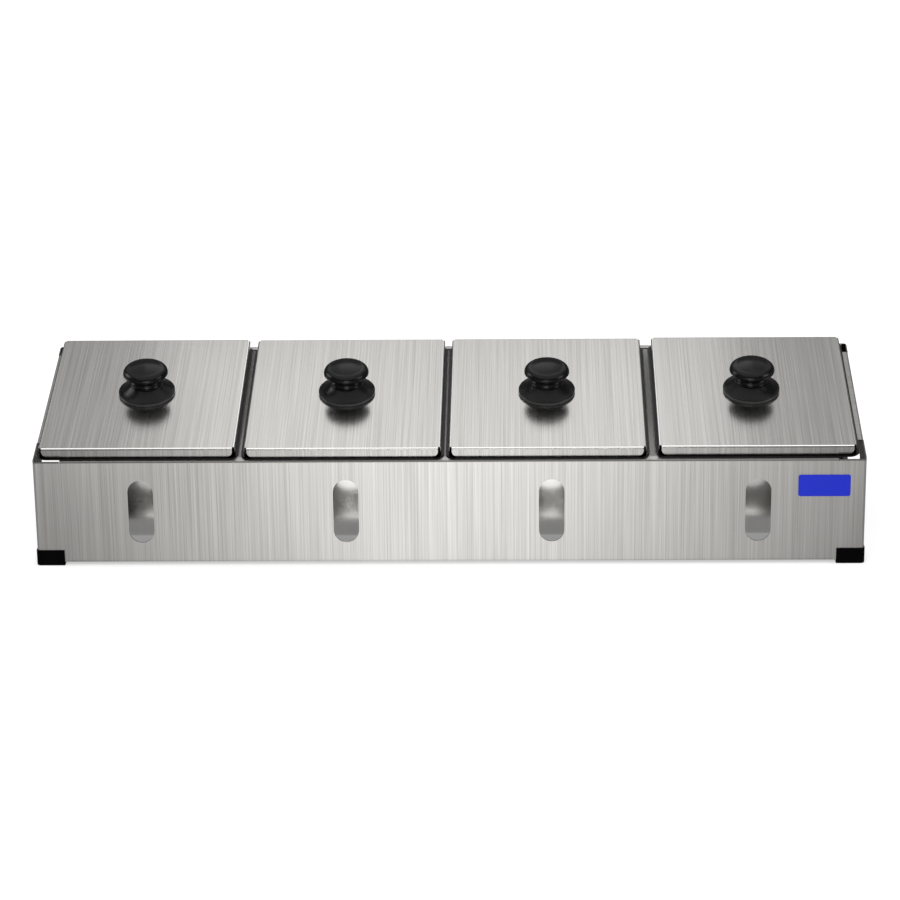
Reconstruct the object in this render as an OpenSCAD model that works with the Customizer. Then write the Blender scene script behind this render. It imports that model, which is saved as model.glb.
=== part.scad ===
// Condiment caddy: a brushed sheet-steel frame whose sloping top carries four
// deep-drawn pans, each with its own flip lid hinged to the back of its rim.
// Millimetres. +X is right, +Y is back, +Z is up. The origin is on the surface
// that the caddy stands on, under the middle of the frame.
// "s" is a distance from the front edge along the sloping top, and "n" is a
// height square to it.

/* [Pans] */
// Width of a pan over its rim
pan_w = 162; // [130:1:200]
// Length of a pan over its rim, front to back
pan_l = 176; // [150:1:220]
// Depth of a pan below its rim
pan_depth = 96; // [70:1:98]
// Thickness of the sheet that a pan is drawn from
pan_t = 0.8; // [0.6:0.1:1.2]
// Width of the flat rim
rim_w = 11; // [10:0.5:14]
// Corner radius of the rim
rim_r = 9; // [5:0.5:12]
// Lean of a pan's walls
pan_taper = 5; // [4:0.5:8]
// Radius of the upright corners of a pan at its mouth
well_r = 24; // [18:1:30]
// Radius of the corner between a pan's walls and its floor
floor_r = 25; // [16:1:32]
// Gap between the rims of neighbouring pans
pan_gap = 1.5; // [0.8:0.1:3]
// Further gap between an end pan and the side of the frame
end_room = 1.25; // [0.5:0.05:3]
// Gap between the rims and the front and back edges of the frame
rim_setback = 2; // [1.5:0.1:4]

/* [Frame] */
// Thickness of the frame's sheet
sheet_t = 1; // [0.8:0.1:1.5]
// Height of the front wall
wall_h = 85; // [84:1:110]
// Slope of the top, rising to the back
slope_a = 13.3; // [11:0.1:14.5]
// Outside radius of the frame's upright corners
corner_r = 2.5; // [2:0.1:5]
// Length of the front and rear walls that is folded round each corner
return_l = 10; // [6:0.5:14]
// Width of the front and rear flanges that carry the rims
flange_w = 6; // [5:0.5:10]
// Width of the side flanges
side_flange_w = 8; // [6:0.5:12]
// Width of the stiffening fold along the bottom of each wall
hem_w = 17.5; // [5:0.5:20]
// Length without a flange at each end of the front and rear walls
notch_x = 21.7; // [12:0.1:30]
// Length without a flange at the front end of the side walls
notch_front = 29; // [15:0.5:40]
// Length without a flange at the back end of the side walls
notch_back = 14; // [12:0.5:25]

/* [Openings in the walls] */
// Width of a slot in the front wall
slot_w = 20.2; // [10:0.1:30]
// Height of a slot in the front wall
slot_h = 52.4; // [35:0.1:56]
// Distance from the top edge of the front wall down to a slot
slot_drop = 15.9; // [12:0.1:20]
// Length of the hand hole in each side wall
hand_l = 100; // [80:1:110]
// Height of the hand hole
hand_h = 42; // [30:1:46]
// Corner radius of the hand hole
hand_r = 14; // [8:0.5:14]
// Height of the middle of the hand hole above the bottom of the wall
hand_z = 55; // [45:1:62]

/* [Feet and badge] */
// Length of a corner foot along each wall
foot_l = 22.9; // [16:0.1:26]
// Height of a corner foot above the bottom of the wall
foot_h = 10.4; // [6:0.1:14]
// Thickness of a foot under the wall
foot_drop = 2.5; // [2:0.1:5]
// Thickness of a foot outside the wall
foot_skin = 0.8; // [0.8:0.1:2]
// Thickness of a foot inside the wall
foot_lip = 2; // [1.5:0.1:4]
// Width of the badge plate
badge_w = 41.2; // [30:0.1:50]
// Height of the badge plate
badge_h = 17.9; // [12:0.1:25]
// Thickness of the badge plate
badge_t = 0.8; // [0.5:0.1:0.8]
// Corner radius of the badge plate
badge_r = 1.8; // [0.5:0.1:4]
// Distance from the right end of the frame to the middle of the badge plate
badge_inset = 32.9; // [28:0.1:36]
// Height of the middle of the badge plate above the bottom of the wall
badge_z = 63.3; // [50:0.1:68]

/* [Lids] */
// Gap between the side edge of a lid and the side edge of the rim
lid_inset_x = 2.75; // [2:0.05:5]
// Gap between the front edge of a lid and the front edge of the rim
lid_inset_s = 2.5; // [2:0.05:4]
// Height of a lid from the bottom of its flanges to its top
lid_h = 8; // [7.5:0.1:12]
// Thickness of a lid's sheet
lid_t = 0.8; // [0.6:0.1:1.2]
// Outside radius of the folds along a lid's edges
fold_r = 1.6; // [1.3:0.1:2.4]
// Distance that each flange stops short of a lid's corners
fold_stop = 2.4; // [1.8:0.1:4]
// Radius of the lower corners of a lid's flanges
flange_r = 5; // [2:0.1:5.5]

/* [Hinges] */
// Length of a hinge
hinge_l = 60; // [40:1:90]
// Outside diameter of the knuckles
knuckle_d = 4.4; // [3.8:0.1:4.6]
// Diameter of the hinge pin
pin_d = 2; // [1.4:0.1:2.4]
// Thickness of the hinge leaves
leaf_t = 0.8; // [0.5:0.1:0.9]
// Length of the pan's leaf along the rim
leaf_l = 9; // [7:0.5:10]
// Number of knuckles
knuckles = 5; // [3:2:7]

/* [Knobs] */
// Diameter of a knob's cap
cap_d = 36.4; // [30:0.2:42]
// Height of a knob above its lid
knob_h = 26; // [24:0.5:34]
// Diameter of the flared base under a knob
base_d = 45.8; // [40:0.2:54]
// Height of the flared base
base_h = 9.5; // [8:0.5:11]
// Diameter of the screw that holds a knob
screw_d = 4; // [3:0.5:5]
// Length of the screw
screw_l = 19; // [17:0.5:20]
// Diameter of the washer under a knob's screw
washer_d = 10; // [9.2:0.2:14]

/* [Clearances] */
// Gap between pieces that lift or swing apart
clearance = 0.3; // [0.2:0.05:0.6]
// Gap all round a hinge pin or a screw
pin_fit = 0.05; // [0.03:0.01:0.1]

/* [Hidden] */
$fn = 64;

bays = 4;
bay_pitch = pan_w + pan_gap;
end_gap = pan_gap + end_room;
frame_l = bays * pan_w + (bays - 1) * pan_gap + 2 * (end_gap + sheet_t);
slope_l = pan_l + 2 * rim_setback;
depth = slope_l * cos(slope_a);
front_y = -depth / 2;
// Where each pan has come to rest in its bay, in pan gaps to the right of the middle.
pan_drift = [-1.2, -1.4, -2.1, -0.6];
// And how far it has slid back, in rim setbacks.
pan_slide = [0, -0.45, -0.4, 0.3];
// Taller than any wall, and wider than the frame.
tall = 2 * (wall_h + slope_l);
wide = 2 * frame_l;

// Heights square to the sloping top, from its outer face up.
rim_n = clearance;
rim_top = rim_n + pan_t;
lid_bottom = rim_top + clearance;
lid_top = lid_bottom + lid_h;
lid_w = pan_w - 2 * lid_inset_x;
lid_l = pan_l - 2 * lid_inset_s;
lid_back = rim_setback + lid_inset_s + lid_l;
well_w = pan_w - 2 * rim_w;
well_l = pan_l - 2 * rim_w;
// How far in the floor's corner reaches, for a wall that leans by pan_taper and meets it smoothly.
floor_in = (pan_depth - floor_r) * tan(pan_taper) + floor_r * (1 / cos(pan_taper) - 1);

// The hinge line lies behind the lid and just above the rim.
knuckle_r = knuckle_d / 2;
hinge_s = lid_back + clearance + knuckle_r;
hinge_n = rim_top + clearance + knuckle_r;
knuckle_pitch = hinge_l / knuckles;
leaf_relief = rim_top + leaf_t + clearance;
lid_leaf_top = lid_top - fold_r;

insert_r = screw_d / 2 + 1.5;
insert_h = 11;
washer_t = 0.8;
head_r = screw_d * 0.95;
head_h = screw_d * 0.6;

function bay_x(bay) = (bay - (bays + 1) / 2) * bay_pitch;
function pan_x(bay) = bay_x(bay) + pan_drift[bay - 1] * pan_gap;
function pan_s(bay) = pan_slide[bay - 1] * rim_setback;

// A rectangle with round corners, centred.
module rounded_rect(w, l, r) {
  square([w - 2 * r, l], center = true);
  square([w, l - 2 * r], center = true);
  for (x = [-1, 1], y = [-1, 1]) translate([x * (w / 2 - r), y * (l / 2 - r)]) circle(r);
}

// Puts its children in the frame of the sloping top: X, s, n.
module on_slope() {
  translate([0, front_y, foot_drop + wall_h]) rotate([slope_a, 0, 0]) children();
}

// Puts its children on the sloping top at the middle of one pan.
module on_pan(bay) {
  on_slope() translate([pan_x(bay), slope_l / 2 + pan_s(bay), 0]) children();
}

module under_slope() {
  on_slope() translate([-wide / 2, -wide / 2, -wide]) cube(wide);
}

// The frame's walls as one closed ring, without its flanges.
module wall_ring() {
  intersection() {
    translate([0, 0, foot_drop]) linear_extrude(tall) difference() {
      rounded_rect(frame_l, depth, corner_r);
      rounded_rect(frame_l - 2 * sheet_t, depth - 2 * sheet_t, corner_r - sheet_t);
    }
    under_slope();
  }
}

// The space inside the outer faces of the walls.
module frame_block() {
  translate([-frame_l / 2, front_y, foot_drop]) cube([frame_l, depth, tall]);
}

// The part of the ring within return_l of the front, or of the back.
module end_wall_ring(side) {
  intersection() {
    wall_ring();
    translate([-wide / 2, side * (depth - return_l) / 2 - return_l / 2, 0]) cube([wide, return_l, tall]);
  }
}

// A strip of sheet that lies under the sloping top between two distances s.
module slope_flange(x0, x1, s0, s1) {
  intersection() {
    on_slope() translate([x0, s0, -sheet_t]) cube([x1 - x0, s1 - s0, sheet_t]);
    frame_block();
  }
}

module end_hem(side) {
  hem_l = frame_l - 2 * (foot_l + sheet_t);
  translate([-hem_l / 2, side * (depth - hem_w) / 2 - hem_w / 2, foot_drop]) cube([hem_l, hem_w, sheet_t]);
}

module front_slots() {
  slot_z = foot_drop + wall_h - slot_drop - slot_h / 2;
  for (bay = [1:bays]) translate([bay_x(bay), front_y + return_l / 2, slot_z]) rotate([90, 0, 0])
    linear_extrude(2 * return_l) {
      square([slot_w, slot_h - slot_w], center = true);
      for (end = [-1, 1]) translate([0, end * (slot_h - slot_w) / 2]) circle(slot_w / 2);
    }
}

module front_wall() {
  flange_x = frame_l / 2 - notch_x;
  color("silver") {
    difference() {
      end_wall_ring(-1);
      front_slots();
    }
    slope_flange(-flange_x, flange_x, 0, flange_w);
    end_hem(-1);
  }
}

module rear_wall() {
  flange_x = frame_l / 2 - notch_x;
  color("silver") {
    end_wall_ring(1);
    slope_flange(-flange_x, flange_x, slope_l - flange_w, slope_l);
    end_hem(1);
  }
}

// One side wall, with its hand hole; side is -1 on the left and 1 on the right.
module side_wall(side) {
  inner_x = frame_l / 2 - side_flange_w;
  hem_y = depth - 2 * (foot_l + sheet_t);
  color("silver") {
    difference() {
      intersection() {
        wall_ring();
        translate([side > 0 ? 0 : -wide, -depth / 2 + return_l, 0]) cube([wide, depth - 2 * return_l, tall]);
      }
      translate([side * frame_l / 2, 0, foot_drop + hand_z]) rotate([0, 90, 0])
        linear_extrude(4 * sheet_t, center = true) rounded_rect(hand_h, hand_l, hand_r);
    }
    slope_flange(side > 0 ? inner_x : -frame_l / 2, side > 0 ? frame_l / 2 : -inner_x,
      notch_front, slope_l - notch_back);
    translate([side * (frame_l - hem_w) / 2 - hem_w / 2, -hem_y / 2, foot_drop])
      cube([hem_w, hem_y, sheet_t]);
  }
}

module left_wall() side_wall(-1);
module right_wall() side_wall(1);

// A push-on corner foot: a channel that grips the bottom of the corner.
module corner_foot(side_x, side_y) {
  lip = sheet_t + foot_lip;
  outer_r = corner_r + foot_skin;
  inner = outer_r - foot_l;
  color("#101010") difference() {
    translate([side_x * (frame_l / 2 + foot_skin - outer_r), side_y * (depth / 2 + foot_skin - outer_r), 0])
      mirror([side_x < 0 ? 1 : 0, 0, 0]) mirror([0, side_y < 0 ? 1 : 0, 0])
        linear_extrude(foot_drop + foot_h) {
          circle(outer_r);
          translate([inner, inner]) square([-inner, foot_l]);
          translate([inner, inner]) square([foot_l, -inner]);
        }
    wall_ring();
    translate([0, 0, foot_drop]) linear_extrude(tall)
      rounded_rect(frame_l - 2 * lip, depth - 2 * lip, 1);
  }
}

module foot_front_left() corner_foot(-1, -1);
module foot_front_right() corner_foot(1, -1);
module foot_rear_left() corner_foot(-1, 1);
module foot_rear_right() corner_foot(1, 1);

// A plain enamelled plate bonded to the front wall.
module badge_plate() {
  color("#2a3ac8") translate([frame_l / 2 - badge_inset, front_y, foot_drop + badge_z]) rotate([90, 0, 0])
    linear_extrude(badge_t) rounded_rect(badge_w, badge_h, badge_r);
}

// The inside or the outside of a pan's well: grow is 0 outside and -pan_t inside.
module well(grow, rise) {
  floor_x = well_w / 2 - floor_in + grow;
  floor_s = well_l / 2 - floor_in + grow;
  hull() {
    for (x = [-1, 1], s = [-1, 1]) {
      translate([x * (well_w / 2 - well_r), s * (well_l / 2 - well_r), rim_n])
        cylinder(h = pan_t + rise, r = well_r + grow, $fn = 32);
      translate([x * (floor_x - floor_r), s * (floor_s - floor_r), rim_top - pan_depth - grow + floor_r])
        sphere(floor_r, $fn = 32);
    }
  }
}

module pan(bay) {
  color("gainsboro") on_pan(bay) difference() {
    union() {
      translate([0, 0, rim_n]) linear_extrude(pan_t) rounded_rect(pan_w, pan_l, rim_r);
      well(0, 0);
    }
    well(-pan_t, 1);
  }
}

// Knuckles number first, first + 2 and so on, round the hinge line.
module knuckle_row(first) {
  for (k = [first:2:knuckles]) translate([-hinge_l / 2 + (k - 1) * knuckle_pitch + clearance / 2, 0, 0])
    rotate([0, 90, 0]) difference() {
      cylinder(h = knuckle_pitch - clearance, r = knuckle_r);
      translate([0, 0, -1]) cylinder(h = knuckle_pitch + 2, d = pin_d + 2 * pin_fit);
    }
}

module on_hinge(bay) {
  on_slope() translate([pan_x(bay), hinge_s + pan_s(bay), hinge_n]) children();
}

// A leaf's plate where it meets its own knuckles only; the others get room to turn.
module leaf_roots(first, size, at) {
  for (k = [first:2:knuckles])
    translate([-hinge_l / 2 + (k - 1) * knuckle_pitch + clearance / 2, at[0], at[1]])
      cube([knuckle_pitch - clearance, size[0], size[1]]);
}

// The leaf that is welded to the back of a pan's rim, with the outer knuckles.
module pan_hinge_leaf(bay) {
  color("darkgray") on_hinge(bay) difference() {
    union() {
      knuckle_row(1);
      translate([-hinge_l / 2 + clearance / 2, -leaf_l, -hinge_n + rim_top])
        cube([hinge_l - clearance, leaf_l - knuckle_r - clearance, leaf_t]);
      leaf_roots(1, [knuckle_r + 2 * clearance, leaf_t], [-knuckle_r - 2 * clearance, -hinge_n + rim_top]);
    }
    pin_bore();
  }
}

// The leaf that is welded to the back flange of a lid, with the inner knuckles.
module lid_hinge_leaf(bay) {
  leaf_bottom = leaf_relief - hinge_n;
  color("darkgray") on_hinge(bay) difference() {
    union() {
      knuckle_row(2);
      leaf_roots(2, [leaf_t, lid_leaf_top - leaf_relief], [-knuckle_r - clearance, leaf_bottom]);
      translate([-hinge_l / 2 + clearance / 2, -knuckle_r - clearance, knuckle_r + clearance])
        cube([hinge_l - clearance, leaf_t, lid_leaf_top - hinge_n - knuckle_r - clearance]);
    }
    pin_bore();
  }
}

module pin_bore() {
  translate([-hinge_l, 0, 0]) rotate([0, 90, 0]) cylinder(h = 2 * hinge_l, d = pin_d + 2 * pin_fit);
}

// A hinge pin with its two peened ends.
module hinge_pin(bay) {
  head_d = pin_d + 0.8;
  color("dimgray") on_hinge(bay) rotate([0, 90, 0]) {
    translate([0, 0, -hinge_l / 2]) cylinder(h = hinge_l, d = pin_d);
    for (end = [-1, 1]) translate([0, 0, end * (hinge_l / 2 + 0.3)])
      cylinder(h = 0.6, d = head_d, center = true);
  }
}

// One folded edge of a lid: the fold and the flange below it, along X, at the
// front of a lid whose edge-to-edge size along X is edge_l.
module lid_edge(edge_l) {
  run = edge_l - 2 * fold_stop;
  drop = lid_h - fold_r;
  translate([-run / 2, 0, 0]) {
    intersection() {
      translate([0, fold_r, -fold_r]) rotate([0, 90, 0]) difference() {
        cylinder(h = run, r = fold_r);
        translate([0, 0, -1]) cylinder(h = run + 2, r = fold_r - lid_t);
      }
      translate([0, 0, -fold_r]) cube([run, fold_r, fold_r]);
    }
    translate([0, lid_t, -fold_r]) rotate([90, 0, 0]) linear_extrude(lid_t) intersection() {
      translate([0, -drop]) square([run, drop]);
      union() {
        translate([0, flange_r - drop]) square([run, drop]);
        translate([flange_r, -drop]) square([run - 2 * flange_r, drop]);
        for (x = [flange_r, run - flange_r]) translate([x, flange_r - drop]) circle(flange_r);
      }
    }
  }
}

// A lid: a flat sheet with its four edges folded down and open corners.
module lid(bay) {
  color("silver") on_pan(bay) translate([0, 0, lid_top]) difference() {
    union() {
      translate([0, 0, -lid_t]) linear_extrude(lid_t)
        square([lid_w - 2 * fold_r, lid_l - 2 * fold_r], center = true);
      for (turn = [0, 180]) rotate([0, 0, turn]) translate([0, -lid_l / 2, 0]) lid_edge(lid_w);
      for (turn = [90, 270]) rotate([0, 0, turn]) translate([0, -lid_w / 2, 0]) lid_edge(lid_l);
    }
    translate([0, 0, -2 * lid_t]) cylinder(h = 3 * lid_t, d = screw_d + 2 * pin_fit);
    translate([-hinge_l / 2 - clearance, lid_l / 2 - 2 * fold_r, -lid_h - 1])
      cube([hinge_l + 2 * clearance, 3 * fold_r, leaf_relief - lid_bottom + 1]);
  }
}

module on_lid(bay) {
  on_pan(bay) translate([0, 0, lid_top]) children();
}

// The mushroom cap of a knob, which its screw pulls down on the flared base. A
// straight neck opens in a cone to a lip; above it the cap steps out, turns a
// round shoulder, and ends in a shallow crown.
module knob(bay) {
  r = cap_d / 2;
  rise = knob_h - base_h;
  neck_r = 0.72 * r;
  neck_n = 0.3 * rise;
  lip_r = 0.935 * r;
  lip_n = 0.53 * rise;
  shoulder_r = 0.3 * rise;
  shoulder_n = 0.565 * rise;
  shoulder_from = -5;
  crown_r = r - shoulder_r;
  crown_n = shoulder_n + shoulder_r;
  steps = 12;
  color("#181818") on_lid(bay) difference() {
    translate([0, 0, base_h]) rotate_extrude() polygon(concat(
      [[0, 0], [neck_r, 0], [neck_r, neck_n], [lip_r, lip_n]],
      [for (i = [0:steps]) let (a = shoulder_from + (90 - shoulder_from) * i / steps)
        [crown_r + shoulder_r * cos(a), shoulder_n + shoulder_r * sin(a)]],
      [for (i = [1:steps]) let (x = crown_r * (1 - i / steps))
        [x, rise - (rise - crown_n) * pow(x / crown_r, 2)]]));
    translate([0, 0, base_h - 1]) cylinder(h = insert_h + 1, r = insert_r);
  }
}

// The flared saucer that a knob stands on: an upright edge, and a top that
// sweeps up to the knob's neck.
module knob_base(bay) {
  r = base_d / 2;
  edge_h = 2.6;
  neck_r = 0.72 * cap_d / 2;
  steps = 12;
  color("#181818") on_lid(bay) difference() {
    rotate_extrude() polygon(concat([[0, 0], [r, 0]],
      [for (i = [0:steps]) let (u = i / steps)
        [r - (r - neck_r) * u, edge_h + (base_h - edge_h) * pow(u, 1.3)]],
      [[0, base_h]]));
    translate([0, 0, -1]) cylinder(h = base_h + 2, d = screw_d + 2 * pin_fit);
  }
}

module knob_insert(bay) {
  color("darkgoldenrod") on_lid(bay) difference() {
    translate([0, 0, base_h]) cylinder(h = insert_h, r = insert_r);
    translate([0, 0, base_h - 1]) cylinder(h = insert_h + 2, d = screw_d + 2 * pin_fit);
  }
}

// The screw comes up through the washer, the lid and the base into the insert.
module knob_screw(bay) {
  color("lightgray") on_lid(bay) translate([0, 0, -lid_t - washer_t]) {
    cylinder(h = screw_l, d = screw_d);
    translate([0, 0, -head_h]) cylinder(h = head_h, r = head_r);
  }
}

module knob_washer(bay) {
  color("lightgray") on_lid(bay) translate([0, 0, -lid_t - washer_t]) difference() {
    cylinder(h = washer_t, d = washer_d);
    translate([0, 0, -1]) cylinder(h = washer_t + 2, d = screw_d + 2 * pin_fit);
  }
}

front_wall();
rear_wall();
left_wall();
right_wall();
foot_front_left();
foot_front_right();
foot_rear_left();
foot_rear_right();
badge_plate();
for (bay = [1:bays]) {
  pan(bay);
  pan_hinge_leaf(bay);
  hinge_pin(bay);
  lid(bay);
  lid_hinge_leaf(bay);
  knob(bay);
  knob_base(bay);
  knob_insert(bay);
  knob_screw(bay);
  knob_washer(bay);
}
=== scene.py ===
import math

import bmesh
import bpy
from mathutils import Matrix, Vector
from mathutils.geometry import delaunay_2d_cdt


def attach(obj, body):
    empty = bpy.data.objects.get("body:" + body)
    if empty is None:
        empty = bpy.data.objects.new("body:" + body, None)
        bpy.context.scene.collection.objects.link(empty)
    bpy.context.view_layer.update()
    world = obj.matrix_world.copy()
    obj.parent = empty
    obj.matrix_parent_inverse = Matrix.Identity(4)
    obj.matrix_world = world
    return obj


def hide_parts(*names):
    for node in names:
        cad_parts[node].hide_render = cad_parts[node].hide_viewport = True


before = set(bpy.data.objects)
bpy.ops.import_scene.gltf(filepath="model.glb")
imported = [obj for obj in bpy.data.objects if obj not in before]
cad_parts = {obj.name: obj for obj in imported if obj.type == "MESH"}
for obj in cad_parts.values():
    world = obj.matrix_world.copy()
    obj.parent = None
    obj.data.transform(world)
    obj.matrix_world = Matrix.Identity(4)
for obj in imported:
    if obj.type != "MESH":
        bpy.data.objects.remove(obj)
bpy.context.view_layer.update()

# The camera stands 2.3 m in front of the caddy and 0.9 m up, and looks down on
# it by 19 degrees through a long lens.
camera = bpy.data.objects.new("camera", bpy.data.cameras.new("camera"))
bpy.context.scene.collection.objects.link(camera)
camera.data.sensor_width = 36
camera.data.lens = 121.0
camera_at = (0.05938, -2.34163, 0.87830)
camera_right = Vector((0.99969932, 0.02165363, -0.0115057))
camera_up = Vector((0.00377347, 0.32778028, 0.94474645))
camera_back = Vector((0.02422853, -0.9445058, 0.32760001))
camera_turn = Matrix((camera_right, camera_up, camera_back)).transposed().to_4x4()
camera.matrix_world = Matrix.Translation(camera_at) @ camera_turn
bpy.context.scene.camera = camera


# The frame's four sheets: 1 mm stainless steel, brushed upright on the outside.
# Each is cut with its slots and holes, folded on a press brake, and the four
# are welded into a ring where the front and back are returned round the corners.
MM = 0.001
frame_l = 660.0
depth = 175.174
front_y = -depth / 2
base_z = 2.5
wall_h = 85.0
edge_z = base_z + wall_h
slope = math.radians(13.3)
slope_l = 180.0
sheet_t = 1.0
bend_r = 1.6
corner_r = 2.5
return_l = 10.0
flange_w = 6.0
side_flange_w = 8.0
hem_w = 17.5
notch_x = 21.7
notch_front = 29.0
notch_back = 14.0
foot_l = 22.9
relief = 0.35
bay_pitch = 163.5
slot_w = 20.2
slot_h = 52.4
slot_below_edge = 15.9
hand_hole_w = 100
hand_hole_h = 42
hand_hole_r = 14
hand_hole_up = 55
corner_shade_w = 4
slope_base = edge_z * math.cos(slope) - front_y * math.sin(slope)


class Signal:
    """A socket of a material. A sum on it adds the Math node that does the sum."""

    def __init__(self, tree, socket=None):
        self.tree = tree
        self.socket = socket

    def node(self, kind, settings, values, result=0):
        """One node: its settings first, then the values or links of its sockets."""
        made = self.tree.nodes.new(kind)
        for name, setting in settings.items():
            if name == "stops":
                elements = made.color_ramp.elements
                while len(elements) < len(setting):
                    elements.new(0.5)
                for element, (position, level) in zip(elements, setting):
                    element.position = position
                    element.color = (level, level, level, 1)
            else:
                setattr(made, name, setting)
        for name, value in values.items():
            if isinstance(value, Signal):
                self.tree.links.new(value.socket, made.inputs[name])
            else:
                made.inputs[name].default_value = value
        return Signal(self.tree, made.outputs[result] if made.outputs else None)

    def sum(self, operation, first, second):
        """A Math node, for sums that have no sign of their own."""
        return self.node("ShaderNodeMath", {"operation": operation}, {0: first, 1: second})

    def vector_sum(self, operation, first, second):
        return self.node("ShaderNodeVectorMath", {"operation": operation}, {0: first, 1: second})

    def __add__(self, other):
        return self.sum("ADD", self, other)

    def __sub__(self, other):
        return self.sum("SUBTRACT", self, other)

    def __rsub__(self, other):
        return self.sum("SUBTRACT", other, self)

    def __mul__(self, other):
        return self.sum("MULTIPLY", self, other)

    __radd__ = __add__
    __rmul__ = __mul__

    def place(self, tilt=0.0):
        """The place on a piece, in metres, along axes tilted back by an angle."""
        place = self.node("ShaderNodeTexCoord", {}, {}, "Object")
        settings = {"vector_type": "TEXTURE"}
        return self.node("ShaderNodeMapping", settings, {"Vector": place, "Rotation": (tilt, 0, 0)})

    def along(self, axis):
        """One coordinate of a place."""
        return self.node("ShaderNodeSeparateXYZ", {}, {"Vector": self}, axis)

    def size(self):
        """The value without its sign."""
        return self.sum("ABSOLUTE", self, 0.0)

    def noise(self, place, cells, detail=2.0, seed=0.0):
        """Noise with so many cells a metre along X, Y and Z."""
        shifted = self.vector_sum("ADD", place, (seed, seed, seed))
        stretched = self.vector_sum("MULTIPLY", shifted, cells)
        return self.node("ShaderNodeTexNoise", {}, {"Vector": stretched, "Scale": 1.0, "Detail": detail})

    def blend(self, factor, first, second):
        """A colour from first to second, each a signal or red, green and blue."""
        first, second = [end if isinstance(end, Signal) else (*end, 1) for end in (first, second)]
        return self.node("ShaderNodeMix", {"data_type": "RGBA"}, {0: factor, 6: first, 7: second}, 2)

    def mix(self, factor, first, second):
        """A number from first to second."""
        return self.node("ShaderNodeMix", {"data_type": "FLOAT"}, {0: factor, 2: first, 3: second})

    def ramp(self, factor, stops):
        """A level that follows a factor through its stops, each a (factor, level)."""
        return self.node("ShaderNodeValToRGB", {"stops": stops}, {0: factor})

    def bump(self, height, distance):
        return self.node("ShaderNodeBump", {}, {"Height": height, "Distance": distance, "Strength": 1.0})


def new_finish(name):
    """A new material without nodes, and a Signal to make its nodes with."""
    material = bpy.data.materials.new(name)
    material.use_nodes = True
    material.node_tree.nodes.clear()
    return material, Signal(material.node_tree)


def finish_with(signal, values):
    """Closes a material with one Principled shader, whose sockets get the values."""
    shader = signal.node("ShaderNodeBsdfPrincipled", {}, values)
    signal.node("ShaderNodeOutputMaterial", {}, {"Surface": shader})


def brushed_steel(name, across, along, dark, light, roughness, seed, tilt=0.0, painted_fold_bands=()):
    """Belt-brushed stainless: hairlines, broader streaks, and the cloudiness of handling.
    Each painted fold band is a band of painted highlight or painted shade along a fold: its top, its depth
    and its colour."""
    material, steel = new_finish(name)
    place = steel.place(tilt)
    hairline = steel.noise(place, [1700 * a + 8 * b for a, b in zip(across, along)], 3.0, seed)
    streak = steel.noise(place, [950 * a + 4 * b for a, b in zip(across, along)], 5.0, seed + 3)
    cloud = steel.noise(place, (9, 9, 9), 4.0, seed + 7)
    tone = steel.ramp(hairline * 0.5 + streak * 0.43 + cloud * 0.07, [(0.36, 0), (0.64, 1)])
    colour = steel.blend(tone, dark, light)
    height = place.along("Z")
    # Painted light and shade: each band paints its colour over the grain between two heights.
    for top, reach, painted_band_colour in painted_fold_bands:
        below = steel.sum("LESS_THAN", height, top * MM)
        above = steel.sum("GREATER_THAN", height, (top - reach) * MM)
        colour = steel.blend(below * above, colour, painted_band_colour)
    finish_with(steel, {
        "Base Color": colour,
        "Metallic": 1.0,
        "Roughness": (hairline - 0.5) * 0.12 + (cloud - 0.5) * 0.08 + roughness,
        "Normal": steel.bump(hairline, 0.00001),
    })
    return material


def bent(run, radius, angle):
    """How far a sheet gets along and across, at a run past the start of a bend."""
    turned = min(max(run / radius, 0), angle)
    beyond = max(run - radius * angle, 0)
    along = min(run, 0) + radius * math.sin(turned) + beyond * math.cos(angle)
    across = radius * (1 - math.cos(turned)) + beyond * math.sin(angle)
    return along, across


def creases(start, radius, angle, point, normal):
    """The lines across a blank that part one bend into seven strips."""
    steps = 7
    return [(point(start + radius * angle * i / steps), normal) for i in range(steps + 1)]


def arc(x, y, radius, first, last, steps):
    """Points on an arc, with its angles in degrees."""
    angles = [math.radians(first + (last - first) * i / steps) for i in range(steps + 1)]
    return [(x + radius * math.cos(a), y + radius * math.sin(a)) for a in angles]


def round_hole(x, y, width, height, radius, steps=12):
    """The outline of a hole with round corners."""
    dx = width / 2 - radius
    dy = height / 2 - radius
    return (arc(x + dx, y - dy, radius, -90, 0, steps) + arc(x + dx, y + dy, radius, 0, 90, steps)
            + arc(x - dx, y + dy, radius, 90, 180, steps) + arc(x - dx, y - dy, radius, 180, 270, steps))


def place_mesh(name, mesh, material, matrix=Matrix()):
    """Turns a bmesh in millimetres into an object, its points moved by a matrix in metres."""
    mesh.transform(matrix @ Matrix.Scale(MM, 4))
    piece = bpy.data.objects.new(name, bpy.data.meshes.new(name))
    mesh.to_mesh(piece.data)
    mesh.free()
    piece.data.polygons.foreach_set("use_smooth", [True] * len(piece.data.polygons))
    piece.data.materials.append(material)
    bpy.context.scene.collection.objects.link(piece)
    return piece


def soften(piece, width, segments=2):
    """Takes the sharpness off the edges, and keeps the faces between them flat."""
    edges = piece.modifiers.new("edges", "BEVEL")
    edges.width = width * MM
    edges.segments = segments
    edges.limit_method = "ANGLE"
    edges.angle_limit = math.radians(38)
    normals = piece.modifiers.new("normals", "WEIGHTED_NORMAL")
    normals.weight = 80


def surrounds(hole, point):
    """Whether the point lies inside a hole without any inward corner."""
    edges = zip(hole, hole[1:] + hole[:1])
    turns = [(b[0] - a[0]) * (point.y - a[1]) - (b[1] - a[1]) * (point.x - a[0]) for a, b in edges]
    return min(turns) > -1e-3 or max(turns) < 1e-3


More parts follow.
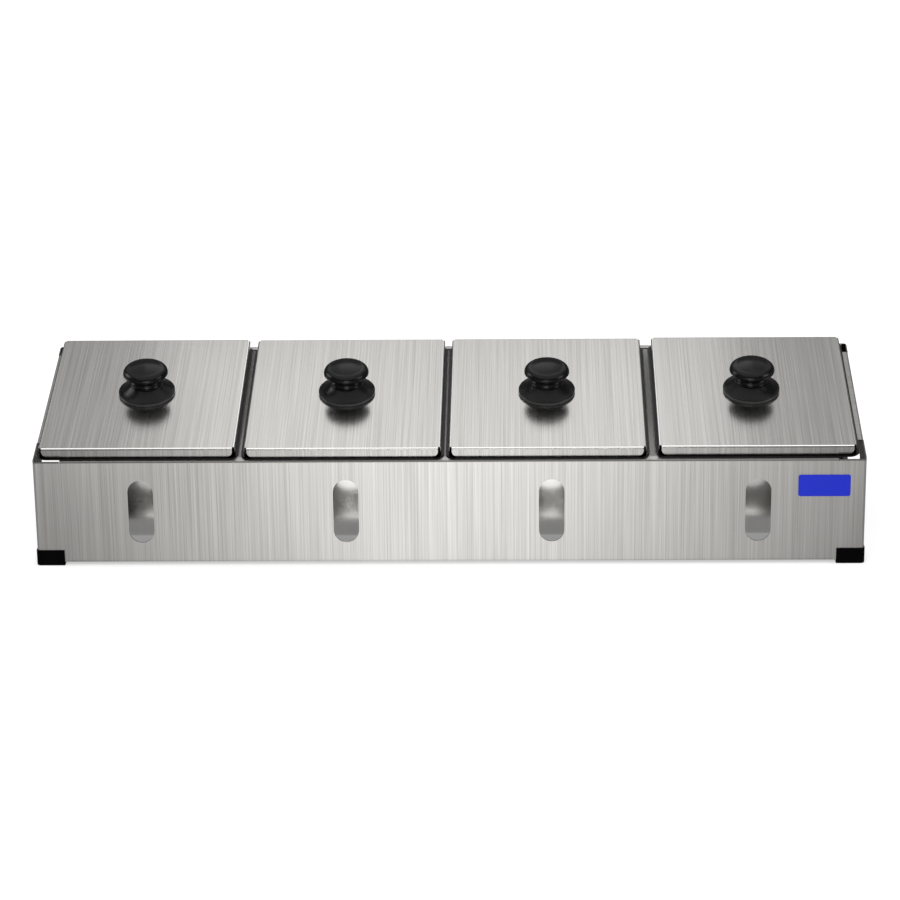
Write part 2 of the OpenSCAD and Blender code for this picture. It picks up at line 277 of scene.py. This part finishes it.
def folded_sheet(name, outline, holes, bends, place, thickness, material, inside, matrix=Matrix()):
    """A flat blank with its holes, creased at its bends and folded by place(u, v)."""
    blank = bmesh.new()
    points = []
    cuts = []
    for loop in [outline] + holes:
        first = len(points)
        points += [Vector(point) for point in loop]
        cuts += [(first + i, first + (i + 1) % len(loop)) for i in range(len(loop))]
    spots, _, faces, _, _, _ = delaunay_2d_cdt(points, cuts, [], 1, 1e-4)
    corners = [blank.verts.new((u, v, 0)) for u, v in spots]
    for face in faces:
        centre = sum((spots[i] for i in face), Vector((0, 0))) / len(face)
        if not any(surrounds(hole, centre) for hole in holes):
            blank.faces.new([corners[i] for i in face])
    for point, normal in bends:
        parts = blank.verts[:] + blank.edges[:] + blank.faces[:]
        bmesh.ops.bisect_plane(blank, geom=parts, dist=1e-4, plane_co=(*point, 0), plane_no=(*normal, 0))
    for face in blank.faces:
        face.normal_update()
        if face.normal.z < 0:
            face.normal_flip()
    for corner in blank.verts:
        corner.co = place(corner.co.x, corner.co.y)
    piece = place_mesh(name, blank, material, matrix)
    body = piece.modifiers.new("thickness", "SOLIDIFY")
    body.thickness = thickness * MM
    body.offset = -1
    body.use_even_offset = True
    body.material_offset = 1
    body.material_offset_rim = 2
    soften(piece, 0.16)
    piece.data.materials.append(inside)
    piece.data.materials.append(cut_edge)
    return piece


def mirrored(half):
    """A closed outline from its right half, given from the bottom up."""
    return half + [(-u, v) for u, v in reversed(half)]


def end_wall(name, side, holes, material):
    """The front wall (side -1) or the rear wall (side 1), as seen from outside."""
    lean = -side * slope
    top_z = edge_z + (slope_l * math.sin(slope) if side > 0 else 0)
    turn = math.pi / 2 - lean
    setback = bend_r * math.tan(turn / 2)
    fold_z = top_z - setback
    flange_v = fold_z + bend_r * turn + flange_w - setback
    hem_z = base_z + bend_r
    hem_v = hem_z - bend_r * math.pi / 2 - (hem_w - bend_r)
    corner_u = frame_l / 2 - corner_r
    end_u = corner_u + corner_r * math.pi / 2 + return_l - corner_r
    flange_u = frame_l / 2 - notch_x
    hem_u = frame_l / 2 - foot_l - sheet_t

    def place(u, v):
        out, inward = bent(abs(u) - corner_u, corner_r, math.pi / 2)
        z = v
        if v > fold_z and abs(u) < flange_u + relief / 2:
            up, over = bent(v - fold_z, bend_r, turn)
            z = fold_z + up
            inward += over
        elif v < hem_z and abs(u) < hem_u + relief / 2:
            down, over = bent(hem_z - v, bend_r, math.pi / 2)
            z = hem_z - down
            inward += over
        return -side * math.copysign(corner_u + out, u), side * (depth / 2 - inward), z

    steps = 12
    half = [(hem_u, hem_v), (hem_u, hem_z + relief), (hem_u + relief, hem_z + relief),
            (hem_u + relief, base_z), (end_u, base_z)]
    for i in range(steps + 1):
        u = end_u + (corner_u - end_u) * i / steps
        inward = bent(u - corner_u, corner_r, math.pi / 2)[1]
        half.append((u, top_z + inward * math.tan(lean)))
    half += [(flange_u + relief, top_z), (flange_u + relief, fold_z - relief),
             (flange_u, fold_z - relief), (flange_u, flange_v)]
    bends = creases(fold_z, bend_r, turn, lambda v: (0, v), (0, 1))
    bends += creases(hem_z, -bend_r, math.pi / 2, lambda v: (0, v), (0, 1))
    bends += creases(corner_u, corner_r, math.pi / 2, lambda u: (u, 0), (1, 0))
    bends += creases(-corner_u, -corner_r, math.pi / 2, lambda u: (u, 0), (1, 0))
    return folded_sheet(name, mirrored(half), holes, bends, place, sheet_t, material, end_inside_light_and_shade)


def on_slope(s, n):
    """Y and Z of a point s along the sloping top and n above it."""
    return (front_y + s * math.cos(slope) - n * math.sin(slope),
            edge_z + s * math.sin(slope) + n * math.cos(slope))


def side_wall(name, side, material):
    """The left wall (side -1) or the right wall (side 1)."""
    hem_z = base_z + bend_r
    hem_v = hem_z - bend_r * math.pi / 2 - (hem_w - bend_r)
    hem_y = depth / 2 - foot_l - sheet_t
    wall_y = depth / 2 - return_l
    first_s = notch_front
    last_s = slope_l - notch_back
    flange_n = -bend_r + bend_r * math.pi / 2 + side_flange_w - bend_r

    def slope_place(y, z):
        return ((y - front_y) * math.cos(slope) + (z - edge_z) * math.sin(slope),
                (z - edge_z) * math.cos(slope) - (y - front_y) * math.sin(slope))

    def place(u, z):
        y = side * u
        s, n = slope_place(y, z)
        inward = 0
        if n > -bend_r and first_s - relief / 2 < s < last_s + relief / 2:
            up, inward = bent(n + bend_r, bend_r, math.pi / 2)
            y, z = on_slope(s, up - bend_r)
        elif z < hem_z and abs(y) < hem_y + relief / 2:
            down, inward = bent(hem_z - z, bend_r, math.pi / 2)
            z = hem_z - down
        return side * (frame_l / 2 - inward), y, z

    def top_of_wall(y):
        return y, edge_z + (y - front_y) * math.tan(slope)

    gap_n = -bend_r - relief
    outline = [(-wall_y, base_z), (-hem_y - relief, base_z), (-hem_y - relief, hem_z + relief),
               (-hem_y, hem_z + relief), (-hem_y, hem_v), (hem_y, hem_v), (hem_y, hem_z + relief),
               (hem_y + relief, hem_z + relief), (hem_y + relief, base_z), (wall_y, base_z),
               top_of_wall(wall_y), on_slope(last_s + relief, 0), on_slope(last_s + relief, gap_n),
               on_slope(last_s, gap_n), on_slope(last_s, flange_n), on_slope(first_s, flange_n),
               on_slope(first_s, gap_n), on_slope(first_s - relief, gap_n),
               on_slope(first_s - relief, 0), top_of_wall(-wall_y)]
    hand_hole = round_hole(0, base_z + hand_hole_up, hand_hole_w, hand_hole_h, hand_hole_r)
    blank = [[(side * y, z) for y, z in loop] for loop in (outline, hand_hole)]
    bends = creases(hem_z, -bend_r, math.pi / 2, lambda v: (0, v), (0, 1))
    bends += creases(-bend_r, bend_r, math.pi / 2,
                     lambda n: (side * on_slope(0, n)[0], on_slope(0, n)[1]),
                     (-side * math.sin(slope), math.cos(slope)))
    return folded_sheet(name, blank[0], [blank[1]], bends, place, sheet_t, material, side_inside_shade)


steel_dark = (0.318, 0.311, 0.298)
steel_light = (0.47, 0.462, 0.448)
end_steel = brushed_steel("brushed_end_walls", (1, 0, 0), (0, 1, 1), steel_dark, steel_light, 0.40, 0.0)
# Painted shade: the top 1.3 mm of the front wall's fold is painted dark.
front_fold_painted_shade = (edge_z + 0.1, 1.3, (0.16, 0.157, 0.15))
front_steel = brushed_steel("brushed_front", (1, 0, 0), (0, 1, 1), steel_dark, steel_light, 0.40, 2.0,
                            painted_fold_bands=[front_fold_painted_shade])
side_steel = brushed_steel("brushed_side_walls", (0, 1, 0), (1, 0, 1), steel_dark, steel_light, 0.40, 5.0)
# Painted light: the inside faces of the front and rear walls are painted lighter than the steel is.
end_inside_light_and_shade, signal = new_finish("end_inside_painted_light_and_shade")
place = signal.place()
rolling = signal.noise(place, (160, 160, 160), 3.0)
# Painted shade: within 4 mm of each end the inside faces are painted near black.
in_painted_corner_shade = signal.sum("GREATER_THAN", place.along("X").size(), (frame_l / 2 - corner_shade_w) * MM)
bright = (1 - in_painted_corner_shade) * (rolling * 0.1 + 0.9)
finish_with(signal, {
    "Base Color": signal.blend(bright, (0.05, 0.05, 0.049), (0.86, 0.855, 0.84)),
    "Metallic": 1.0,
    "Roughness": rolling * 0.08 + 0.22,
})
# Painted shade: the inside faces of the side walls are painted dark grey.
side_inside_shade, signal = new_finish("side_inside_painted_shade")
scale = signal.noise(signal.place(), (120, 120, 120), 4.0)
finish_with(signal, {
    "Base Color": signal.blend(scale, (0.10, 0.099, 0.096), (0.17, 0.168, 0.163)),
    "Metallic": 1.0,
    "Roughness": scale * 0.15 + 0.3,
})
cut_edge, signal = new_finish("cut_edge")
ripple = signal.noise(signal.place(), (1500, 1500, 1500), 2.0)
finish_with(signal, {
    "Base Color": signal.blend(ripple, (0.07, 0.068, 0.065), (0.15, 0.147, 0.14)),
    "Metallic": 1.0,
    "Roughness": ripple * 0.2 + 0.3,
})
slot_z = edge_z - slot_below_edge - slot_h / 2
slots = [round_hole((bay - 2.5) * bay_pitch, slot_z, slot_w, slot_h, slot_w / 2) for bay in range(1, 5)]
sheets = {
    "front_wall": end_wall("front_sheet", -1, slots, front_steel),
    "rear_wall": end_wall("rear_sheet", 1, [], end_steel),
    "left_wall": side_wall("left_sheet", -1, side_steel),
    "right_wall": side_wall("right_sheet", 1, side_steel),
}
for node, piece in sheets.items():
    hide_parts(node)
    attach(piece, "frame")


# The four corner feet: black rubber channels, pushed on over the bottom
# corners of the sheets.
rubber, signal = new_finish("foot_rubber")
place = signal.place()
speckle = signal.noise(place, (1800, 1800, 1800), 3.0)
dust = signal.ramp(signal.noise(place, (60, 60, 60), 5.0), [(0.5, 0), (0.8, 1)])
finish_with(signal, {
    "Base Color": signal.blend(dust * 0.35, (0.001, 0.001, 0.0011), (0.005, 0.005, 0.005)),
    "Roughness": speckle * 0.2 + 0.5,
    "Specular IOR Level": 0.03,
    "Normal": signal.bump(speckle, 0.00004),
})


def dress_node(node, material, width, segments=2):
    """Softens the edges of a solid of the frame model, and gives it its finish."""
    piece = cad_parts[node]
    piece.data.materials.clear()
    piece.data.materials.append(material)
    piece.data.polygons.foreach_set("use_smooth", [True] * len(piece.data.polygons))
    joined = piece.modifiers.new("joined", "WELD")
    joined.merge_threshold = 1e-6
    flats = piece.modifiers.new("flats", "DECIMATE")
    flats.decimate_type = "DISSOLVE"
    flats.angle_limit = math.radians(0.5)
    soften(piece, width, segments)
    return piece


for corner in ("front_left", "front_right", "rear_left", "rear_right"):
    dress_node("foot_" + corner, rubber, 0.5, 3)


# The badge plate: 0.8 mm of aluminium with blue stove enamel, bonded to the
# right end of the front wall, and left plain.
enamel, signal = new_finish("blue_enamel")
place = signal.place()
orange_peel = signal.noise(place, (420, 420, 420), 2.0)
fleck = signal.noise(place, (3000, 3000, 3000), 1.0)
finish_with(signal, {
    "Base Color": signal.blend(fleck, (0.010, 0.027, 0.64), (0.013, 0.034, 0.70)),
    "Roughness": orange_peel * 0.12 + 0.26,
    "Specular IOR Level": 0.3,
    "Normal": signal.bump(orange_peel, 0.00003),
})
dress_node("badge_plate", enamel, 0.3, 3)


# The pans: 0.8 mm stainless, deep-drawn from one sheet and left bright by the
# tool, with a flat rim, walls that taper to lift out, and a wide floor radius.
# Each sits a little off the middle of its bay, across and along the slope.
pan_drift = {1: -1.8, 2: -2.1, 3: -3.15, 4: -0.9}
pan_slide = {1: 0.0, 2: -0.9, 3: -0.8, 4: 0.6}
pan_middle = {bay: ((bay - 2.5) * bay_pitch + pan_drift[bay], slope_l / 2 + pan_slide[bay])
              for bay in range(1, 5)}
pan_w = 162.0
pan_l = 176.0
pan_t = 0.8
rim_top = 1.1
rim_w = 11.0
pan_depth = 96.0
pan_taper = math.radians(5)
corner_out = 9.0
front_shade_reach = 8
slope_frame = Matrix.Translation((0, front_y * MM, edge_z * MM)) @ Matrix.Rotation(slope, 4, "X")

drawn_steel, signal = new_finish("drawn_pan_steel")
place = signal.place(slope)
draw_marks = signal.noise(place, (500, 500, 18), 3.0)
film = signal.noise(place, (14, 14, 14), 4.0)
on_rim = signal.sum("GREATER_THAN", place.along("Z"), (slope_base - 1.0) * MM)
finish_with(signal, {
    "Base Color": signal.blend(draw_marks, (0.60, 0.595, 0.58), (0.70, 0.695, 0.68)),
    "Metallic": 1.0,
    "Roughness": draw_marks * 0.05 + film * 0.06 + on_rim * 0.05 + 0.03,
    "Normal": signal.bump(draw_marks + film * 6, 0.00002),
})

drawn_outside, signal = new_finish("drawn_pan_outside")
rolling = signal.noise(signal.place(slope), (300, 300, 14), 3.0)
finish_with(signal, {
    "Base Color": signal.blend(rolling, (0.62, 0.615, 0.60), (0.68, 0.675, 0.66)),
    "Metallic": 1.0,
    "Roughness": rolling * 0.05 + 0.17,
})

# Painted shade: the rim's margin outside the lid, and its front edge, are painted near black.
rim_painted_shade, signal = new_finish("rim_painted_shade")
shade_mottle = signal.noise(signal.place(slope), (700, 700, 700), 3.0)
finish_with(signal, {
    "Base Color": signal.blend(shade_mottle, (0.008, 0.008, 0.008), (0.020, 0.0195, 0.019)),
    "Metallic": 1.0,
    "Roughness": shade_mottle * 0.1 + 0.25,
})


def pan_rings():
    """The inner face of a pan as (half width, half length, corner radius, height)."""
    edge_r = 0.8
    margin_w = 3.6
    lip_r = 3.0
    floor_r = 25.0
    mouth_r = 23.2
    lean = math.tan(pan_taper)
    mouth_w = pan_w / 2 - rim_w - pan_t
    mouth_l = pan_l / 2 - rim_w - pan_t
    rings = []
    for a in [math.radians(degrees) for degrees in range(80, -20, -20)]:
        out = edge_r * (math.sin(a) - 1)
        rings.append((pan_w / 2 + out, pan_l / 2 + out, corner_out + out,
                      rim_top - edge_r * (1 - math.cos(a))))
    rings.append((pan_w / 2 - margin_w, pan_l / 2 - margin_w, corner_out - margin_w, rim_top))
    for i in range(9):
        a = (math.pi / 2 - pan_taper) * i / 8
        out = lip_r / math.cos(pan_taper) - lip_r * lean - lip_r * math.sin(a)
        rings.append((mouth_w + out, mouth_l + out, mouth_r + out, rim_top - lip_r * (1 - math.cos(a))))
    centre_in = (pan_depth - floor_r) * lean + floor_r / math.cos(pan_taper) - pan_t
    inner_r = floor_r - pan_t
    for i in range(15):
        a = pan_taper + (math.radians(88) - pan_taper) * i / 14
        reach = inner_r * math.cos(a)
        rings.append((mouth_w - centre_in + reach, mouth_l - centre_in + reach, reach,
                      rim_top - pan_depth + floor_r - inner_r * math.sin(a)))
    return rings


def drawn_pan(name, middle, material):
    """Skins the rings of a pan, closes its floor, and gives the skin its thickness.
    The rim's outer margin, and its edge at the front, get a near-black painted shade."""
    mesh = bmesh.new()
    loops = []
    for half_w, half_l, radius, n in pan_rings():
        points = round_hole(0, 0, 2 * half_w, 2 * half_l, radius, 16)
        loops.append([mesh.verts.new((middle[0] + x, middle[1] + s, n)) for x, s in points])
    for ring, (outer, inner) in enumerate(zip(loops, loops[1:])):
        count = len(outer)
        for i in range(count):
            j = (i + 1) % count
            face = mesh.faces.new((outer[i], outer[j], inner[j], inner[i]))
            in_front_shade = ring < 3 and outer[i].co.y < front_shade_reach
            face.material_index = 2 if in_front_shade or ring in (3, 4) else 0
    mesh.faces.new(loops[-1])
    piece = place_mesh(name, mesh, material, slope_frame)
    for finish in (drawn_outside, rim_painted_shade, drawn_outside):
        piece.data.materials.append(finish)
    skin = piece.modifiers.new("thickness", "SOLIDIFY")
    skin.thickness = pan_t * MM
    skin.offset = -1
    skin.material_offset = 1
    soften(piece, 0.25)
    return piece


for bay in range(1, 5):
    pan = drawn_pan("drawn_pan_%d" % bay, pan_middle[bay], drawn_steel)
    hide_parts("pan_%d" % bay)
    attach(pan, "pan_assembly_%d" % bay)


# The lids: 0.8 mm stainless blanks, brushed front to back, with their four
# edges folded down. The corners are left open, and each flange ends in a round.
lid_w = 156.5
lid_l = 171.0
lid_h = 8.0
lid_t = 0.8
lid_top = 9.4
fold_r = 1.6
fold_stop = 2.4
flange_r = 5.0
hinge_gap = 60.6
hinge_relief = 0.8
screw_hole_r = 2.05


def folded_lid(name, middle, material):
    """One lid: its blank, with a corner of two flanges repeated at each corner."""
    flat_w = lid_w / 2 - fold_r
    flat_l = lid_l / 2 - fold_r
    drop = fold_r * math.pi / 2 + lid_h - fold_r
    stop_w = lid_w / 2 - fold_stop
    stop_l = lid_l / 2 - fold_stop
    corner = (arc(stop_w - flange_r, -(flat_l + drop - flange_r), flange_r, -90, 0, 8)
              + [(stop_w, -flat_l), (flat_w, -stop_l)]
              + arc(flat_w + drop - flange_r, -(stop_l - flange_r), flange_r, -90, 0, 8))
    back = flat_l + drop
    hinge_cut = [(hinge_gap / 2, back), (hinge_gap / 2, back - hinge_relief),
                 (-hinge_gap / 2, back - hinge_relief), (-hinge_gap / 2, back)]
    outline = (corner + [(u, -v) for u, v in reversed(corner)] + hinge_cut
               + [(-u, -v) for u, v in corner] + [(-u, v) for u, v in reversed(corner)])
    bends = []
    for sign in (-1, 1):
        bends += creases(sign * flat_w, sign * fold_r, math.pi / 2, lambda u: (u, 0), (1, 0))
        bends += creases(sign * flat_l, sign * fold_r, math.pi / 2, lambda v: (0, v), (0, 1))

    def place(u, v):
        out_u, down_u = bent(abs(u) - flat_w, fold_r, math.pi / 2)
        out_v, down_v = bent(abs(v) - flat_l, fold_r, math.pi / 2)
        return (middle[0] + math.copysign(flat_w + out_u, u),
                middle[1] + math.copysign(flat_l + out_v, v),
                lid_top - down_u - down_v)

    hole = arc(0, 0, screw_hole_r, 0, 345, 23)
    return folded_sheet(name, outline, [hole], bends, place, lid_t, material, lid_inside, slope_frame)


top_n = slope_base + lid_top
# Painted highlight and painted shade on the lids' folded edges: the top 0.52 mm is painted light, the next
# 0.9 mm painted dark.
lid_fold_painted_highlight = (top_n - 0.02, 0.52, (0.75, 0.745, 0.735))
lid_fold_painted_shade = (top_n - 0.54, 0.9, (0.2, 0.197, 0.19))
lid_steel = brushed_steel("brushed_lids", (1, 0, 0), (0, 1, 1), steel_dark, steel_light, 0.22, 11.0, slope,
                          [lid_fold_painted_highlight, lid_fold_painted_shade])
lid_inside = brushed_steel("lid_insides", (1, 0, 0), (0, 1, 1), (0.42, 0.415, 0.40), (0.48, 0.475, 0.46),
                           0.32, 17.0, slope)
for bay in range(1, 5):
    lid = folded_lid("folded_lid_%d" % bay, pan_middle[bay], lid_steel)
    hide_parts("lid_%d" % bay)
    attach(lid, "lid_assembly_%d" % bay)


# The hinges: 0.8 mm stainless leaves rolled into knuckles, one spot-welded to
# the back of the pan's rim and one to the lid's back flange, on a 2 mm pin.
hinge_steel = brushed_steel("hinge_steel", (0, 1, 1), (1, 0, 0), (0.30, 0.295, 0.29),
                            (0.48, 0.475, 0.465), 0.32, 21.0)
for bay in range(1, 5):
    for node in ("pan_hinge_leaf_%d" % bay, "lid_hinge_leaf_%d" % bay):
        dress_node(node, hinge_steel, 0.12, 1)
    dress_node("hinge_pin_%d" % bay, hinge_steel, 0.2, 2)


# The knobs: a mushroom cap and a flared base, both moulded in satin black
# phenolic and turned up against each other by the screw.
knob_black, signal = new_finish("satin_phenolic")
place = signal.place()
moulding = signal.noise(place, (900, 900, 900), 3.0)
mottle = signal.noise(place, (230, 230, 230), 2.0)
rub = signal.noise(place, (45, 45, 45), 5.0)
# Painted reflection: the knob's lowest 2.3 mm, the edge of its base, is painted lighter.
reflection_band_h = 2.3
knob_edge_painted_reflection = signal.sum("LESS_THAN", signal.place(slope).along("Z"), (top_n + reflection_band_h) * MM)
finish_with(signal, {
    "Base Color": signal.blend(rub * 0.06 + knob_edge_painted_reflection, (0.003, 0.003, 0.0032), (0.06, 0.06, 0.061)),
    "Roughness": rub * 0.1 + mottle * 0.2 + moulding * 0.06 + 0.08,
    "Specular IOR Level": 0.14,
    "Normal": signal.bump(mottle + moulding * 0.1, 0.00012),
})


def turned(profile, centre, steps=96):
    """Turns a profile of (radius, height) round the normal of a lid at centre."""
    mesh = bmesh.new()
    rings = []
    for radius, n in profile:
        if radius < 1e-6:
            rings.append([mesh.verts.new((centre[0], centre[1], centre[2] + n))])
            continue
        angles = [2 * math.pi * i / steps for i in range(steps)]
        rings.append([mesh.verts.new((centre[0] + radius * math.cos(a),
                                      centre[1] + radius * math.sin(a), centre[2] + n)) for a in angles])
    for lower, upper in zip(rings, rings[1:]):
        for i in range(steps):
            j = (i + 1) % steps
            face = [lower[i % len(lower)], lower[j % len(lower)],
                    upper[j % len(upper)], upper[i % len(upper)]]
            mesh.faces.new(list(dict.fromkeys(face)))
    return mesh


def round_edges(profile, bends, steps=5):
    """A profile with curves instead of some corners; bends gives each corner's reach."""
    line = []
    for i, (x, y) in enumerate(profile):
        reach = bends.get(i, 0)
        if not reach:
            line.append((x, y))
            continue
        before = Vector(profile[i - 1]) - Vector((x, y))
        after = Vector(profile[i + 1]) - Vector((x, y))
        start = Vector((x, y)) + before.normalized() * reach
        end = Vector((x, y)) + after.normalized() * reach
        for j in range(steps + 1):
            t = j / steps
            point = start * (1 - t) ** 2 + Vector((x, y)) * 2 * t * (1 - t) + end * t ** 2
            line.append(tuple(point))
    return line


bore_r = 3.5
bore_h = 11.0
base_h = 9.5
cap_r = 18.2
cap_rise = 16.5
neck_r = 13.1
waist_r = 12.7
shoulder_r = 4.95
shoulder_n = 9.32
crown_r = cap_r - shoulder_r
crown_n = shoulder_n + shoulder_r
cap_profile = round_edges(
    [(bore_r, bore_h), (bore_r, 0.0), (neck_r, 0.0), (neck_r, 0.9), (waist_r, 1.1), (waist_r, 4.95),
     (14.0, 5.7), (16.7, 8.1), (17.0, 8.75), (16.6, 8.95)],
    {2: 0.25, 3: 0.3, 5: 0.4, 6: 0.5, 7: 0.5, 8: 0.15})
for a in [math.radians(degrees) for degrees in [-4, -1] + list(range(5, 90, 5))]:
    cap_profile.append((crown_r + shoulder_r * math.cos(a), shoulder_n + shoulder_r * math.sin(a)))
for out in [1 - i / 12 for i in range(13)]:
    cap_profile.append((crown_r * out, cap_rise - (cap_rise - crown_n) * out ** 2))
base_r = 22.9
edge_h = 2.6
flare_line = [(base_r - (base_r - neck_r) * i / 16, edge_h + (base_h - edge_h) * (i / 16) ** 1.3)
              for i in range(1, 17)]
base_profile = round_edges(
    [(screw_hole_r, 0.0), (base_r - 0.4, 0.0), (base_r - 0.1, 0.5), (base_r, edge_h)]
    + flare_line + [(screw_hole_r, base_h)], {1: 0.2, 3: 0.45})
for bay in range(1, 5):
    flare = turned(base_profile, (*pan_middle[bay], lid_top))
    flare = place_mesh("knob_flare_%d" % bay, flare, knob_black, slope_frame)
    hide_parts("knob_base_%d" % bay)
    cap = turned(cap_profile, (*pan_middle[bay], lid_top + base_h))
    cap = place_mesh("knob_cap_%d" % bay, cap, knob_black, slope_frame)
    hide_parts("knob_%d" % bay)
    for piece in (flare, cap):
        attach(piece, "lid_assembly_%d" % bay)


# The fixings: a brass insert moulded into each cap, and from under the lid a
# zinc-plated screw and its washer.
brass, signal = new_finish("turned_brass")
place = signal.place()
lathe_marks = signal.noise(place, (100, 100, 6000), 2.0)
finish_with(signal, {
    "Base Color": signal.blend(lathe_marks, (0.55, 0.36, 0.12), (0.72, 0.50, 0.20)),
    "Metallic": 1.0,
    "Roughness": lathe_marks * 0.15 + 0.22,
})
zinc, signal = new_finish("bright_zinc")
place = signal.place()
plating = signal.noise(place, (700, 700, 700), 4.0)
finish_with(signal, {
    "Base Color": signal.blend(plating, (0.50, 0.51, 0.53), (0.66, 0.67, 0.69)),
    "Metallic": 1.0,
    "Roughness": plating * 0.2 + 0.16,
    "Normal": signal.bump(plating, 0.00003),
})
washer_t = 0.8
screw_l = 19.0
shank_r = 2.0
head_r = 3.8
head_h = 2.4
flat_r = 2.4
arm = 2.0
arm_w = 0.45
turns_n = 48
corners_n = 12


def cross(reach, half_w):
    """The outline of a cross recess."""
    quarter = [(reach, -half_w), (reach, half_w), (half_w, half_w)]
    turns = [(1, 0), (0, 1), (-1, 0), (0, -1)]
    return [(x * c - y * d, x * d + y * c) for c, d in turns for x, y in quarter]


def cross_head_screw(centre):
    """A pan-head screw: its shank and domed head turned, and the recess pressed in."""
    round_r = head_r - flat_r
    profile = [(0, screw_l), (1.5, screw_l), (shank_r, screw_l - 0.5), (shank_r, 0), (head_r, 0)]
    profile += [(flat_r + x, round_r - head_h + y) for x, y in arc(0, 0, round_r, 0, -90, 8)]
    mesh = turned(profile, centre, turns_n)
    outline = cross(arm, arm_w)
    flat = arc(0, 0, flat_r, 0, 360 - 360 / turns_n, turns_n - 1)
    points = [Vector(point) for point in flat + outline]
    cuts = [(i, (i + 1) % turns_n) for i in range(turns_n)]
    cuts += [(turns_n + i, turns_n + (i + 1) % corners_n) for i in range(corners_n)]
    spots, _, faces, _, _, _ = delaunay_2d_cdt(points, cuts, [], 1, 1e-4)
    corners = [mesh.verts.new((centre[0] + x, centre[1] + y, centre[2] - head_h)) for x, y in spots]
    for face in faces:
        x, y = [abs(value) for value in sum((spots[i] for i in face), Vector((0, 0))) / len(face)]
        if min(x, y) > arm_w or max(x, y) > arm:
            mesh.faces.new([corners[i] for i in face])
    edge = [mesh.verts.new((centre[0] + x, centre[1] + y, centre[2] - head_h)) for x, y in outline]
    bottom = [mesh.verts.new((centre[0] + x, centre[1] + y, centre[2] - head_h / 2))
              for x, y in cross(arm * 0.6, arm_w * 0.7)]
    for i in range(corners_n):
        j = (i + 1) % corners_n
        mesh.faces.new((edge[i], edge[j], bottom[j], bottom[i]))
    mesh.faces.new(bottom)
    bmesh.ops.remove_doubles(mesh, verts=mesh.verts[:], dist=1e-3)
    bmesh.ops.recalc_face_normals(mesh, faces=mesh.faces[:])
    return mesh


for bay in range(1, 5):
    dress_node("knob_insert_%d" % bay, brass, 0.2)
    dress_node("knob_washer_%d" % bay, zinc, 0.15)
    seat_n = lid_top - lid_t - washer_t
    screw = cross_head_screw((*pan_middle[bay], seat_n))
    screw = place_mesh("cross_screw_%d" % bay, screw, zinc, slope_frame)
    soften(screw, 0.06, 1)
    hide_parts("knob_screw_%d" % bay)
    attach(screw, "lid_assembly_%d" % bay)


# The studio: a pale floor, a faint even sky, and soft boxes behind, above, in
# front and at both ends. The floor glows to the camera and in the steel, more further off; in the steel
# the glow is a painted pool of light, brightest in the middle, and under the caddy it is dimmed to a
# painted shadow.
def area_light(name, location, target, width, height, power):
    """A soft box at a place, turned to its target, with its size and its power."""
    light = bpy.data.objects.new(name, bpy.data.lights.new(name, "AREA"))
    light.data.shape = "RECTANGLE"
    light.data.size = width
    light.data.size_y = height
    light.data.energy = power
    bpy.context.scene.collection.objects.link(light)
    light.location = location
    light.rotation_euler = (Vector(target) - Vector(location)).to_track_quat("-Z", "Y").to_euler()


area_light("soft_box_back", (0.0, 0.84, 1.3), (0, 0, 0.1), 2.4, 0.9, 4.6)
area_light("soft_box_back_middle", (-0.03, 0.79, 1.24), (0, 0, 0.1), 0.72, 0.8, 1.65)
area_light("soft_box_over", (0.0, -0.6, 1.45), (0, -0.6, 0), 2.4, 2.0, 21)
area_light("soft_box_left", (-1.5, 0.2, 0.8), (0, 0, 0.1), 0.7, 0.7, 8.0)
area_light("soft_box_right", (1.5, -0.5, 0.8), (0, 0, 0.1), 0.7, 0.7, 8.0)
area_light("soft_box_low", (-0.03, -1.25, 0.14), (0, 0, 0.06), 0.5, 0.24, 4.5)

floor_half = 20000
shade_edge = 20
floor_mesh = bmesh.new()
bmesh.ops.create_grid(floor_mesh, x_segments=1, y_segments=1, size=floor_half)
floor_paint, signal = new_finish("floor_paint")
to_camera = signal.node("ShaderNodeLightPath", {}, {}, "Is Camera Ray")
ray_kinds = to_camera.socket.node.outputs
seen = to_camera + Signal(signal.tree, ray_kinds["Is Glossy Ray"])
seen = seen + Signal(signal.tree, ray_kinds["Is Transmission Ray"])
spot = signal.place()
away = signal.node("ShaderNodeVectorMath", {"operation": "LENGTH"}, {0: spot}, 1)
x_off = spot.along("X").size()
y_off = spot.along("Y").size()
outside = signal.sum("MAXIMUM", x_off - (frame_l / 2 - shade_edge) * MM,
                     y_off - (depth / 2 - shade_edge) * MM)
# Painted light pool: in the steel the floor glows brightest in the middle and dimmer towards the ends.
painted_light_pool = signal.ramp(x_off * 2, [(0.1, 1.3), (0.64, 0.14)])
open_glow = signal.mix(to_camera, painted_light_pool, 0.72)
# Painted shadow: under the caddy the floor glows at only 0.25.
glow_with_painted_shadow = signal.mix(signal.ramp(outside * 10, [(0.0, 0), (0.25, 1)]), 0.25, open_glow)
far_glow = signal.ramp(away, [(0.5, 0.0), (1.0, 0.3)])
finish_with(signal, {
    "Base Color": (0.4, 0.4, 0.4, 1),
    "Roughness": 0.9,
    "Specular IOR Level": 0.0,
    "Emission Color": signal.vector_sum("ADD", glow_with_painted_shadow, far_glow),
    "Emission Strength": seen * 1.0,
})
floor = place_mesh("floor", floor_mesh, floor_paint)

world = bpy.data.worlds.new("studio")
bpy.context.scene.world = world
world.use_nodes = True
sky = world.node_tree.nodes["Background"]
sky.inputs["Color"].default_value = (1, 1, 1, 1)
sky.inputs["Strength"].default_value = 0.1

bpy.context.scene.view_settings.view_transform = "Standard"
